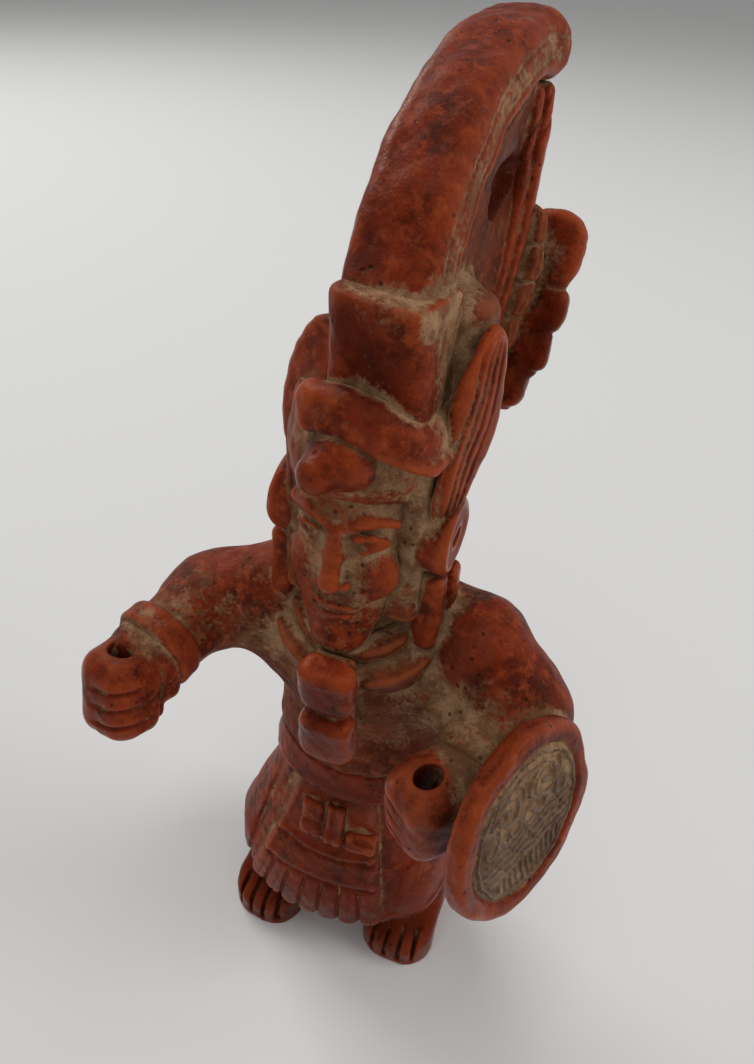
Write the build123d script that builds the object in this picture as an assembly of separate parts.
"""Fired clay warrior figure with an arched plume headdress, a round shield and two pierced fists.

The figure is hand built: every moulded or rolled lump of clay is its own solid, luted face to face to the
next one. Millimetres, +Z up, the figure looks along -Y, and its left side is +X.
The body is laid out round a vertical axis at X = Y = 0, and the finished figure is moved at the end so that
the origin is the centre of the bottom of its bounding box.
"""

import os
from math import cos, radians, sin

from build123d import *

# ---- driving dimensions --------------------------------------------------------------------------
HEM_Z = 25.0  # skirt's lower edge above the table
BELT_Z = 78.0  # middle of the belt
SHOULDER_Z = 126.0
CHIN_Z = 127.0
BROW_Z = 176.0  # underside of the helmet's brow
CAP_TOP_Z = 213.0  # top of the block that carries the plume
CREST_TOP_Z = 250.0

HEAD_X = -3.0  # the head sits a little to the figure's right
STANCE = 21.0  # from the body's axis to the middle of each foot
HALF_SHOULDER = 34.0

SHIELD_RADIUS = 24.5
SHIELD_CENTRE = Vector(52, -25, 104.5)
SHIELD_TURN = 22.0  # degrees that the shield's face turns from +X to the front
SHIELD_LEAN = 13.0  # degrees that it leans back

STAFF_RADIUS_LEFT = 3.0  # the holes through the fists, for a staff
STAFF_RADIUS_RIGHT = 3.4

LEFT, RIGHT = 1, -1


# ---- helpers -------------------------------------------------------------------------------------
def ellipsoid(centre, radii):
    """A lump of clay with three different radii."""
    return Pos(*centre) * scale(Sphere(1), by=radii)


def stack(sections):
    """A smooth body through level ellipses, each (z, half width in x, half width in y, x, y)."""
    rings = [Pos(cx, cy, z) * Ellipse(rx, ry) for z, rx, ry, cx, cy in sections]
    return loft(Sketch() + rings)


def limb(start, end, radii):
    """A rolled clay limb from start to end, whose radius runs smoothly through radii."""
    start, end = Vector(*start), Vector(*end)
    length = (end - start).length
    points = [(r, length * i / (len(radii) - 1)) for i, r in enumerate(radii)]
    side = Spline(*points) if len(points) > 2 else Line(*points)
    outline = side + Polyline(points[-1], (0, length), (0, 0), points[0])
    turned = revolve(Plane.XZ * make_face(outline), Axis.Z)
    return Plane(origin=start, z_dir=end - start) * turned


def rounded_block(width, depth, height, radius):
    """A block with all its edges rounded, centred on its origin."""
    block = Box(width, depth, height)
    return fillet(block.edges(), radius)


def disc_on(origin, direction, radius, thickness):
    """A disc whose near face is at origin and which grows along direction."""
    plane = Plane(origin=origin, z_dir=direction)
    return plane * (Pos(0, 0, thickness / 2) * Cylinder(radius, thickness))


def cut_away(solid, *others):
    """Solid without the room that its neighbours take."""
    for other in others:
        solid = solid - other
    return solid


def largest(shape):
    """The largest solid of a shape, which drops the slivers that a cut can leave."""
    return max(shape.solids(), key=lambda s: s.volume)


# ---- feet and legs -------------------------------------------------------------------------------
FOOT_WIDTH, FOOT_LENGTH, FOOT_HEIGHT = 24.0, 41.0, 13.0
FOOT_CENTRE_Y = {LEFT: -1.0, RIGHT: -6.5}  # the left foot is set a little further back
TOE_GROOVES = 4
TOE_GROOVE_WIDTH, TOE_GROOVE_LENGTH, TOE_GROOVE_DEPTH = 1.6, 12.0, 5.0
LEG_RADIUS = 10.0
LEG_Y = -3.0


def foot(side):
    """A blunt foot with a flat sole and grooves between its toes."""
    sole = RectangleRounded(FOOT_WIDTH, FOOT_LENGTH, FOOT_WIDTH * 0.48)
    block = extrude(sole, FOOT_HEIGHT)
    block = fillet(block.edges().group_by(Axis.Z)[-1], 5.5)
    spacing = FOOT_WIDTH / (TOE_GROOVES + 1)
    for i in range(TOE_GROOVES):
        x = (i - (TOE_GROOVES - 1) / 2) * spacing
        y = -FOOT_LENGTH / 2 + TOE_GROOVE_LENGTH / 2 - 1
        z = FOOT_HEIGHT - TOE_GROOVE_DEPTH / 2 - abs(i - (TOE_GROOVES - 1) / 2)
        block -= Pos(x, y, z) * Box(TOE_GROOVE_WIDTH, TOE_GROOVE_LENGTH, TOE_GROOVE_DEPTH + 1)
    splay = Rot(0, 0, side * 5)
    return Pos(side * STANCE, FOOT_CENTRE_Y[side], 0) * splay * block


def leg(side, its_foot, bell):
    """The short leg that joins a foot to the flat underside of the skirt."""
    ankle, hip = (side * (STANCE - 1), LEG_Y, 5), (side * (STANCE - 4), LEG_Y, HEM_Z + 2)
    pillar = limb(ankle, hip, [LEG_RADIUS + 1, LEG_RADIUS])
    return largest(cut_away(pillar, its_foot, bell))


# ---- skirt ---------------------------------------------------------------------------------------
SKIRT = [
    (HEM_Z, 35.0, 25.0, -3, -1),
    (HEM_Z + 17, 31.5, 23.0, -2.5, -1),
    (HEM_Z + 38, 25.0, 18.5, -1, 0),
    (BELT_Z + 4, 21.0, 16.0, 0, 1),
]
APRON_THICKNESS = 3.0
APRON_TOP_HALF, APRON_BOTTOM_HALF = 11.0, 23.0
FRINGE_COUNT = 8
FRINGE_TOP_Z = HEM_Z + 16


def grown(sections, by):
    """Sections that are larger all round by a thickness."""
    return [(z, rx + by, ry + by, cx, cy) for z, rx, ry, cx, cy in sections]


def apron_outline(bottom_z, top_z):
    """The front panel's trapezium as seen from the front, as a thick plate to cut with."""
    corners = [
        (-APRON_BOTTOM_HALF - 3, bottom_z),
        (APRON_BOTTOM_HALF - 3, bottom_z),
        (APRON_TOP_HALF, top_z),
        (-APRON_TOP_HALF, top_z),
    ]
    face = make_face(Polyline(*corners, close=True))
    return extrude(Plane.XZ * face, 60)


def apron():
    """The front panel that lies on the skirt, with grooves for its fringe and a raised border above it."""
    shell = stack(grown(SKIRT, APRON_THICKNESS)) - stack(SKIRT)
    panel = shell & apron_outline(HEM_Z, BELT_Z - 3)
    for i in range(FRINGE_COUNT):
        x = -3 + (i - (FRINGE_COUNT - 1) / 2) * 2 * APRON_BOTTOM_HALF / (FRINGE_COUNT + 0.5)
        slot = Box(1.3, 3.4, FRINGE_TOP_Z - HEM_Z - 1.5)
        y = -SKIRT[0][2] - APRON_THICKNESS - 0.6 + abs(x + 2) ** 2 / 62
        panel -= Pos(x, y, (HEM_Z + FRINGE_TOP_Z) / 2) * slot
    return largest(panel)


TAB_SIZE = (6.0, 3.0, 19.0)


def sash_tab(index, panel, bell):
    """One of the flat tabs that hang from the belt on the front panel."""
    x = (index - 1) * 7.2 - 0.5
    lean = Rot(-12, 0, 0)
    tab = Pos(x, -23.6, BELT_Z - 16) * lean * rounded_block(*TAB_SIZE, 1.2)
    return largest(cut_away(tab, panel, bell))


BELT = [
    (BELT_Z - 5, 24.6, 19.2, 0, 0),
    (BELT_Z, 24.8, 19.4, 0, 0),
    (BELT_Z + 5, 23.4, 18.4, 0, 0),
]


def belt(bell, trunk):
    """The rolled belt round the waist."""
    return largest(cut_away(stack(BELT), bell, trunk))


# ---- body ----------------------------------------------------------------------------------------
TRUNK = [
    (BELT_Z + 4, 20.5, 15.5, 0, 1),
    (96, 22.5, 15.5, 0, 2),
    (110, 28.5, 17.0, 0, 3),
    (121, 33.0, 16.5, 0, 4),
    (129, 27.0, 13.0, -1, 5),
    (134, 14.0, 10.0, -2, 5),
]
NECK_RADIUS = 10.5


def neck(trunk, skull, face):
    """The short neck between the shoulders and the jaw."""
    column = limb((HEAD_X + 1, 4, 124), (HEAD_X, 4, 150), [NECK_RADIUS + 1, NECK_RADIUS, NECK_RADIUS])
    return largest(cut_away(column, trunk, skull, face))


def tilted_ring(centre, rx, ry, height, tilt, inner=None):
    """A flat oval ring that slopes down to the front by tilt degrees."""
    ring = extrude(Ellipse(rx, ry), height)
    if inner:
        ring -= extrude(Ellipse(*inner), height)
    return Pos(*centre) * Rot(tilt, 0, 0) * ring


def collar(trunk, column, face):
    """The broad collar that lies on the shoulders and chest."""
    ring = tilted_ring((-1, 1, 122), 20.5, 18.5, 6.5, 20)
    return largest(cut_away(ring, trunk, column, face))


def neck_band(trunk, column, face, broad):
    """The narrow band above the collar, close under the jaw."""
    ring = tilted_ring((HEAD_X + 1, 0, 128), 15.5, 14.5, 5.0, 20)
    return largest(cut_away(ring, trunk, column, face, broad))


# ---- head ----------------------------------------------------------------------------------------
SKULL = [
    (CHIN_Z + 15, 9.5, 9.0, HEAD_X, 1),
    (CHIN_Z + 22, 12.5, 13.0, HEAD_X, 1),
    (CHIN_Z + 34, 13.5, 15.0, HEAD_X, 2),
    (BROW_Z, 14.0, 15.5, HEAD_X, 2),
    (BROW_Z + 16, 13.0, 14.5, HEAD_X, 1),
]
FACE = [
    (CHIN_Z, 6.5, 6.0, HEAD_X, -11.5),
    (CHIN_Z + 7, 9.5, 10.0, HEAD_X, -8.5),
    (CHIN_Z + 18, 12.2, 13.5, HEAD_X, -4.5),
    (CHIN_Z + 32, 13.0, 15.0, HEAD_X, -3),
    (BROW_Z + 2, 13.0, 15.5, HEAD_X, -2),
]
FACE_BACK_Y = -5.0
NOSE_Z = CHIN_Z + 25


def skull_solid():
    """The core of the head behind the face."""
    behind = Pos(0, FACE_BACK_Y + 50, 150) * Box(100, 100, 200)
    return stack(SKULL) & behind


def face_solid(trunk):
    """The moulded face: a plain calm one, with brows, lidded eyes, a straight nose and closed lips."""
    in_front = Pos(0, FACE_BACK_Y - 50, 150) * Box(100, 100, 200)
    mask = stack(FACE) & in_front
    bridge = limb((HEAD_X, -16.5, NOSE_Z + 12), (HEAD_X, -19.2, NOSE_Z), [1.6, 2.1, 2.9])
    tip = ellipsoid((HEAD_X, -19.0, NOSE_Z), (3.4, 2.4, 2.2))
    mask += bridge
    mask += tip
    for side in (LEFT, RIGHT):
        eye = ellipsoid((HEAD_X + side * 5.8, -15.2, NOSE_Z + 9), (3.5, 1.8, 1.7))
        mask += eye
    for lip, drop in ((1.5, 8.2), (1.7, 11.2)):
        mask += ellipsoid((HEAD_X, -16.6 + drop * 0.04, NOSE_Z - drop), (5.0 - drop * 0.1, 1.7, lip * 0.8))
    return largest(mask - trunk)


VISOR = [
    (BROW_Z - 2, 14.6, 17.2, HEAD_X, -1),
    (BROW_Z + 4, 15.6, 19.0, HEAD_X, -1),
    (BROW_Z + 11, 14.2, 17.0, HEAD_X, -1),
]


def visor(skull, face):
    """The helmet's brow, a roll of clay from temple to temple over the face."""
    front = Pos(0, -48, BROW_Z) * Box(100, 100, 60)
    return largest(cut_away(stack(VISOR) & front, skull, face))


def beak_knob(brow, skull, face):
    """The round knob at the front of the helmet."""
    ball = ellipsoid((HEAD_X - 0.5, -21.5, BROW_Z + 4.5), (5.2, 6.2, 5.4))
    return largest(cut_away(ball, brow, skull, face))


def headband(skull, brow, knob):
    """The thick roll round the helmet, higher in front than behind."""
    torus = scale(Torus(13.2, 5.0), by=(1.0, 1.18, 1.0))
    roll = Pos(HEAD_X + 1, -1.5, BROW_Z + 13.5) * Rot(-11, 0, 0) * torus
    return largest(cut_away(roll, skull, brow, knob))


CAP_CENTRE = (2.1, -3.0)
CAP_WIDTH, CAP_DEPTH = 18.3, 22.0


def cap(skull, band, brow):
    """The tall block on the helmet, slightly narrower at its foot."""
    foot_face = Pos(*CAP_CENTRE, BROW_Z + 10) * RectangleRounded(CAP_WIDTH + 1.5, CAP_DEPTH, 5)
    top_face = Pos(*CAP_CENTRE, CAP_TOP_Z) * RectangleRounded(CAP_WIDTH, CAP_DEPTH, 5)
    block = loft(Sketch() + [foot_face, top_face])
    block = fillet(block.edges().group_by(Axis.Z)[-1], 2.5)
    return largest(cut_away(block, skull, band, brow))


CROWN = [
    (BROW_Z + 12, 13.0, 12.0, HEAD_X + 1, 9),
    (BROW_Z + 26, 12.5, 13.0, 0, 14),
    (CAP_TOP_Z - 2, 10.0, 11.0, 1, 18),
]


def crown_core(skull, band, block):
    """The mass of clay behind the cap that carries the rear plumes."""
    return largest(cut_away(stack(CROWN), skull, band, block))


# from the head's axis to the back of each ear ornament
EAR_OFFSET = {LEFT: 14.0, RIGHT: 12.8}


def ear_spool(side, *neighbours):
    """A thick round ear ornament with a blind hole in its face."""
    x = HEAD_X + side * EAR_OFFSET[side]
    hub = disc_on((x, 0, 158.5), (side, 0, 0), 9.2, 7.0)
    hub = fillet(hub.edges().filter_by(GeomType.CIRCLE), 2.4)
    hub -= disc_on((x + side * 3.5, 0.5, 158.5), (side, 0, 0), 2.4, 5.0)
    return largest(cut_away(hub, *neighbours))


def ear_pendant(side, *neighbours):
    """The two flat strips that hang side by side below an ear ornament."""
    x = HEAD_X + side * (EAR_OFFSET[side] + 4.8)
    strips = Pos(x, -3.4, 137.5) * rounded_block(5.6, 6.2, 23, 2.4)
    strips += Pos(x + side * 0.6, 3.0, 138.5) * rounded_block(4.8, 5.4, 21, 2.0)
    strips += Pos(x, 0.4, 146.0) * Box(3.6, 6.0, 5.0)
    return largest(cut_away(strips, *neighbours))


WING_WIDTH, WING_THICKNESS = 19.0, 7.0
WING_GROOVES = 3
# its middle's distance from the head's axis and height, its length, its outward lean in degrees
WING = {
    LEFT: (19.4, 184.5, 43.0, 7),
    RIGHT: (15.4, 181.0, 34.0, -5),
}


def side_wing(side, *neighbours):
    """The folded feather wing beside the helmet, a leaf with grooves that run down its outer face."""
    reach, height, length, lean = WING[side]
    bottom, top = (0, -length / 2), (0, length / 2)
    front = ThreePointArc(bottom, (-WING_WIDTH / 2, 0), top)
    back = ThreePointArc(top, (WING_WIDTH / 2, 0), bottom)
    leaf = extrude(Plane.YZ * make_face(front + back), WING_THICKNESS / 2, both=True)
    leaf = fillet(leaf.edges().filter_by(GeomType.CIRCLE), 2.6)
    for i in range(WING_GROOVES):
        groove = Box(2.4, 0.8, 30 - 5 * i)
        leaf -= Pos(side * WING_THICKNESS / 2, 0.4 + 2.6 * i, -2) * Rot(4 * i, 0, 0) * groove
    placed = Pos(HEAD_X + side * reach, 2.5, height) * Rot(-14, side * lean, 0) * leaf
    return largest(cut_away(placed, *neighbours))


# ---- plumes --------------------------------------------------------------------------------------
CREST_WIDTH, CREST_THICKNESS = 16.5, 10.0
CREST_RADIUS = 69.8  # of its outer face, seen from the side
CREST_CENTRE = (55.2, CREST_TOP_Z - CREST_RADIUS)  # (y, z)
CREST_END_ANGLE = 98.0  # degrees from the front, seen from the arch's centre
INNER_ROLL_THICKNESS = 4.0


def arch(outer, thickness, width, first, last, x=1.5):
    """A stretch of the plume's arch, between two angles in degrees, as a curved bar."""
    inner = outer - thickness
    cy, cz = CREST_CENTRE

    def at(radius, angle):
        return (cy - radius * cos(radians(angle)), cz + radius * sin(radians(angle)))

    middle = (first + last) / 2
    edge = ThreePointArc(at(outer, first), at(outer, middle), at(outer, last))
    edge += Line(at(outer, last), at(inner, last))
    edge += ThreePointArc(at(inner, last), at(inner, middle), at(inner, first))
    edge += Line(at(inner, first), at(outer, first))
    bar = extrude(Plane.YZ * make_face(edge), width)
    return Pos(x - width / 2, 0, 0) * bar


def above_cap(shape):
    """The part of a shape that stands above the cap."""
    return shape & (Pos(0, 0, CAP_TOP_Z + 100) * Box(300, 300, 200))


def crest_plume():
    """The long front plume, a thick rounded bar that arches up and back from the cap."""
    bar = arch(CREST_RADIUS, CREST_THICKNESS, CREST_WIDTH, 15, CREST_END_ANGLE)
    bar = above_cap(bar)
    long_edges = [e for e in bar.edges().filter_by(GeomType.CIRCLE) if e.radius > CREST_RADIUS - 1]
    bar = fillet(long_edges, 4.5)
    return largest(bar)


def crest_tip(bar):
    """The plume's rounded end, which droops over the rear plumes."""
    cy, cz = CREST_CENTRE
    middle = CREST_RADIUS - CREST_THICKNESS / 2
    y = cy - middle * cos(radians(CREST_END_ANGLE))
    z = cz + middle * sin(radians(CREST_END_ANGLE))
    bulb = Pos(2.0, y, z - 1.4) * Rot(-8, 0, 0) * rounded_block(18.0, 17.0, 12.0, 5.4)
    return largest(cut_away(bulb, bar))


def inner_roll(bar, tip, block):
    """The thin roll that follows the underside of the front plume."""
    roll = above_cap(arch(CREST_RADIUS - CREST_THICKNESS, INNER_ROLL_THICKNESS, CREST_WIDTH + 1.0, 12, 88))
    return largest(cut_away(roll, bar, tip, block))


def plume_web(*neighbours):
    """The set-back wall between the front plume and the rear plumes."""
    wall = arch(CREST_RADIUS - 13, 34, 12.0, 8, 90) & (Pos(0, 26, 222) * Box(60, 56, 64))
    return largest(cut_away(wall, *neighbours))


REAR_PLUME = [(180.0, 43.0), (200.0, 50.0), (218.0, 55.0), (237.0, 60.0)]  # (z, y) of its middle line


def strip(points, thickness, half_widths):
    """A hanging feather strip: level rounded sections along (z, y) points, with a half width at each."""
    faces = []
    for (z, y), half in zip(points, half_widths):
        faces.append(Pos(0.5, y, z) * RectangleRounded(2 * half, thickness, thickness * 0.42))
    return loft(Sketch() + faces)


def rear_plume(*neighbours):
    """The ribbed plume that comes down behind the arch."""
    band = strip(REAR_PLUME, 9.0, [9.5, 11.0, 12.5, 11.5])
    return largest(cut_away(band, *neighbours))


FAN_LEAN = radians(17)
# how far out the middle of each feather's end is, from the bottom up
SCALE_REACH = (9.5, 11.8, 13.4, 14.3, 14.0)
LOBE_REACH = (13.5, 17.0, 19.0, 19.8, 19.0)


def feather_fan(foot_y, foot_z, reaches, pitch, lobe_radius, thickness):
    """A flat curtain of feathers that leans back, whose two edges are rows of round feather ends."""
    outline = Sketch()
    for i, reach in enumerate(reaches):
        outline += Pos(0, pitch * (i + 0.5)) * Rectangle(2 * reach, pitch * 1.1)
        for side in (LEFT, RIGHT):
            outline += Pos(side * reach, pitch * (i + 0.5)) * Circle(lobe_radius)
    leaning = Plane(origin=(0.5, foot_y, foot_z), x_dir=(1, 0, 0), z_dir=(0, -cos(FAN_LEAN), sin(FAN_LEAN)))
    return extrude(leaning * outline, -thickness)


def scale_feathers(*neighbours):
    """The strip of short overlapping feathers behind the ribbed plume."""
    fan = feather_fan(44.5, 173, SCALE_REACH, 8.6, 4.9, 7.0)
    return largest(cut_away(fan, *neighbours))


def lobe_feathers(*neighbours):
    """The rear fan, with the largest feather ends."""
    fan = feather_fan(49.5, 164, LOBE_REACH, 9.4, 5.4, 8.0)
    return largest(cut_away(fan, *neighbours))


# ---- beard and chest ornaments -------------------------------------------------------------------
def beard_strip(*neighbours):
    """The strip that hangs from the chin down the chest and carries the two drops."""
    board = Pos(HEAD_X + 2.5, -19.4, 114.5) * Rot(6, 0, 0) * rounded_block(11.5, 7.0, 29, 2.0)
    return largest(cut_away(board, *neighbours))


def chest_drop(centre, height, *neighbours):
    """A rounded bead, flat behind, on the chest strip."""
    bead = Pos(*centre) * Rot(6, 0, 0) * rounded_block(15.0, 7.0, height, 3.2)
    return largest(cut_away(bead, *neighbours))


# ---- arms ----------------------------------------------------------------------------------------
ELBOW = {"left": Vector(42, -1, 113), "right": Vector(-45, -4, 121)}
WRIST = {"left": Vector(36.5, -21, 108), "right": Vector(-47.5, -27, 116)}
# its middle, the turn and the lean of the hole through it in degrees, and that hole's radius
FIST = {
    "left": (Vector(29.5, -31, 104), -38, 4, STAFF_RADIUS_LEFT),
    "right": (Vector(-49, -37.5, 111), 8, -16, STAFF_RADIUS_RIGHT),
}
ARM_RADIUS = 10.0
FIST_SIZE = (18.0, 17.0, 21.0)


def upper_arm(side, elbow, trunk):
    """The shoulder and upper arm, down to the bent elbow."""
    shoulder = Vector(side * (HALF_SHOULDER - 8), 4, SHOULDER_Z)
    arm = limb(shoulder, elbow, [ARM_RADIUS + 1.5, ARM_RADIUS + 1, ARM_RADIUS])
    arm += Pos(*elbow) * Sphere(ARM_RADIUS)
    arm += Pos(*shoulder) * Sphere(ARM_RADIUS + 1.5)
    return largest(cut_away(arm, trunk))


def forearm(elbow, wrist, *neighbours):
    """The forearm from the elbow to the wrist."""
    arm = limb(elbow, wrist, [ARM_RADIUS - 0.6, ARM_RADIUS - 0.4, ARM_RADIUS - 1.5])
    return largest(cut_away(arm, *neighbours))


def bracelet(elbow, wrist, *neighbours):
    """The rolled bracelet round the wrist."""
    along = (wrist - elbow).normalized()
    plane = Plane(origin=wrist - along * 6.5, z_dir=along)
    ring = plane * (Pos(0, 0, 3.2) * Cylinder(ARM_RADIUS + 2.0, 6.4))
    ring = fillet(ring.edges().filter_by(GeomType.CIRCLE), 2.8)
    return largest(cut_away(ring, *neighbours))


def fist_frame(centre, turn, lean):
    """A fist's own frame: Z along the hole through it, -Y to the knuckles."""
    return Pos(*centre) * Rot(0, 0, turn) * Rot(lean, 0, 0)


def fist(centre, turn, lean, staff_radius, *neighbours):
    """A closed fist with grooves between the fingers, pierced along its own Z."""
    width, depth, height = FIST_SIZE
    hand = rounded_block(width, depth, height, 6.0)
    for i in range(3):
        z = (i - 1) * height / 4
        hand -= Pos(0, -depth / 2, z) * Box(width + 2, 2.4, 1.1)
    placed = fist_frame(centre, turn, lean) * hand
    placed = largest(cut_away(placed, *neighbours))
    bore = fist_frame(centre, turn, lean) * Cylinder(staff_radius, height * 2)
    return largest(placed - bore)


# ---- shield --------------------------------------------------------------------------------------
SHIELD_THICKNESS = 4.0
SHIELD_FACE_RADIUS = 19.6
RIM_TUBE = 3.0


def shield_normal():
    """The direction that the shield's face looks in."""
    turn, lean = radians(SHIELD_TURN), radians(SHIELD_LEAN)
    return Vector(cos(lean) * cos(turn), -cos(lean) * sin(turn), sin(lean))


def shield_frame(back=0.0):
    """The shield's own plane: Z out of its face, Y up the face."""
    normal = shield_normal()
    across = Vector(0, 0, 1).cross(normal).normalized()
    return Plane(origin=SHIELD_CENTRE - normal * back, x_dir=across, z_dir=normal)


def shield_disc():
    """The flat disc of the shield."""
    disc = Cylinder(SHIELD_RADIUS - RIM_TUBE, SHIELD_THICKNESS)
    return shield_frame(SHIELD_THICKNESS) * (Pos(0, 0, SHIELD_THICKNESS / 2 - 0.4) * disc)


def shield_rim(disc):
    """The thick rounded rim round the disc."""
    height = SHIELD_THICKNESS + 1.2
    ring = Cylinder(SHIELD_RADIUS, height) - Cylinder(SHIELD_FACE_RADIUS, height)
    outer = [e for e in ring.edges().filter_by(GeomType.CIRCLE) if e.radius > SHIELD_RADIUS - 0.1]
    ring = fillet(outer, 2.4)
    ring = shield_frame(SHIELD_THICKNESS) * (Pos(0, 0, SHIELD_THICKNESS / 2 - 0.2) * ring)
    return largest(ring - disc)


RELIEF_PLATE, RELIEF_HEIGHT = 0.8, 0.9


def shield_relief(disc, rim):
    """The moulded relief in the shield's face: bands across it, upright bars below and two rings above."""
    plate = Pos(0, 0, RELIEF_PLATE / 2) * Cylinder(SHIELD_FACE_RADIUS, RELIEF_PLATE)
    middle = RELIEF_PLATE + RELIEF_HEIGHT / 2 - 0.05
    tall = RELIEF_HEIGHT + 0.1
    for y, width in ((0.6, 20.0), (-2.8, 33.0), (-7.5, 30.0)):
        plate += Pos(0, y, middle) * Box(width, 1.7, tall)
    for i in range(5):
        plate += Pos((i - 2) * 4.6, -12.5, middle) * Box(1.8, 5.6, tall)
    for x in (-7.5, 7.5):
        plate += Pos(x, 8.0, middle) * (Cylinder(4.2, tall) - Cylinder(2.4, tall * 2))
    plate += Pos(0, 8.0, middle) * Box(2.2, 12.0, tall)
    placed = shield_frame(SHIELD_THICKNESS) * (Pos(0, 0, SHIELD_THICKNESS - 0.4) * plate)
    return largest(cut_away(placed, disc, rim))


# ---- the whole figure ----------------------------------------------------------------------------
def build():
    """Every piece of the figure by name, in the body's frame."""
    made = {}
    bell = stack(SKIRT)
    for side, name in ((LEFT, "left"), (RIGHT, "right")):
        made[f"foot_{name}"] = foot(side)
        made[f"leg_{name}"] = leg(side, made[f"foot_{name}"], bell)

    trunk = stack(TRUNK)
    made["skirt"] = bell
    made["torso"] = largest(trunk - bell)
    made["apron"] = apron()
    made["belt"] = belt(bell, trunk)
    made["apron"] = largest(made["apron"] - made["belt"])
    for i in range(3):
        tab = sash_tab(i, made["apron"], bell)
        made[f"sash_tab_{i + 1}"] = largest(tab - made["belt"])

    skull, face = skull_solid(), face_solid(trunk)
    column = neck(trunk, skull, face)
    made["head_core"], made["face"], made["neck"] = skull, face, column
    made["collar"] = collar(trunk, column, face)
    made["neck_band"] = neck_band(trunk, column, face, made["collar"])
    brow = visor(skull, face)
    knob = beak_knob(brow, skull, face)
    band = headband(skull, brow, knob)
    block = cap(skull, band, brow)
    core = crown_core(skull, band, block)
    made.update(visor=brow, beak_knob=knob, headband=band, cap=block, crown_core=core)

    for side, name in ((LEFT, "left"), (RIGHT, "right")):
        near = (skull, face, brow, band, core, block)
        made[f"side_wing_{name}"] = side_wing(side, *near)
        spool = ear_spool(side, *near, made[f"side_wing_{name}"])
        made[f"ear_spool_{name}"] = spool
        shoulder = upper_arm(side, ELBOW[name], trunk)
        made[f"upper_arm_{name}"] = shoulder
        below = (spool, trunk, shoulder, made["collar"], made["neck_band"])
        made[f"ear_pendant_{name}"] = ear_pendant(side, *near, *below)

    crest = crest_plume()
    tip = crest_tip(crest)
    roll = inner_roll(crest, tip, block)
    rear = rear_plume(crest, tip, roll, core)
    scales = scale_feathers(crest, tip, rear, core, skull)
    lobes = lobe_feathers(crest, tip, rear, scales, skull, core)
    made.update(crest_plume=crest, crest_tip=tip, crest_inner_roll=roll)
    made["plume_web"] = plume_web(crest, tip, roll, rear, block, core)
    made.update(rear_plume=rear, scale_feathers=scales, lobe_feathers=lobes)

    chest = (face, column, trunk, made["collar"], made["neck_band"], made["belt"])
    board = beard_strip(*chest)
    upper = chest_drop((HEAD_X + 3.0, -22.8, 121.5), 14.0, board, *chest)
    lower = chest_drop((HEAD_X + 3.4, -23.6, 106.0), 15.5, board, upper, *chest)
    made.update(beard_strip=board, chest_drop_upper=upper, chest_drop_lower=lower)

    disc = shield_disc()
    rim = shield_rim(disc)
    made["shield_disc"], made["shield_rim"] = disc, rim
    made["shield_relief"] = shield_relief(disc, rim)

    for name in ("right", "left"):
        above, elbow, wrist = made[f"upper_arm_{name}"], ELBOW[name], WRIST[name]
        lower_arm = forearm(elbow, wrist, above, trunk, disc, rim)
        ring = bracelet(elbow, wrist, lower_arm, above, disc, rim, trunk)
        made[f"forearm_{name}"] = lower_arm
        made[f"bracelet_{name}"] = ring
        made[f"fist_{name}"] = fist(*FIST[name], lower_arm, ring, disc, rim)
    return made


def main():
    made = build()
    whole = Compound(children=[s.moved(Location()) for p in made.values() for s in p.solids()])
    box = whole.bounding_box()
    shift = Vector(-(box.min.X + box.max.X) / 2, -(box.min.Y + box.max.Y) / 2, -box.min.Z)
    os.makedirs("parts", exist_ok=True)
    for old in os.listdir("parts"):
        os.remove(os.path.join("parts", old))
    for name, shape in made.items():
        solids = shape.solids()
        kept = solids[0] if len(solids) == 1 else Compound(children=list(solids))
        export_step(Pos(*shift) * kept, f"parts/{name}.step")
    print("moved by", tuple(round(v, 3) for v in shift), "size", box.size)
    for name, (centre, turn, lean, radius) in FIST.items():
        plane = Plane(Pos(*shift) * fist_frame(centre, turn, lean))
        print(name, "bore radius", radius, "at", plane.origin, "axis", plane.z_dir)


main()
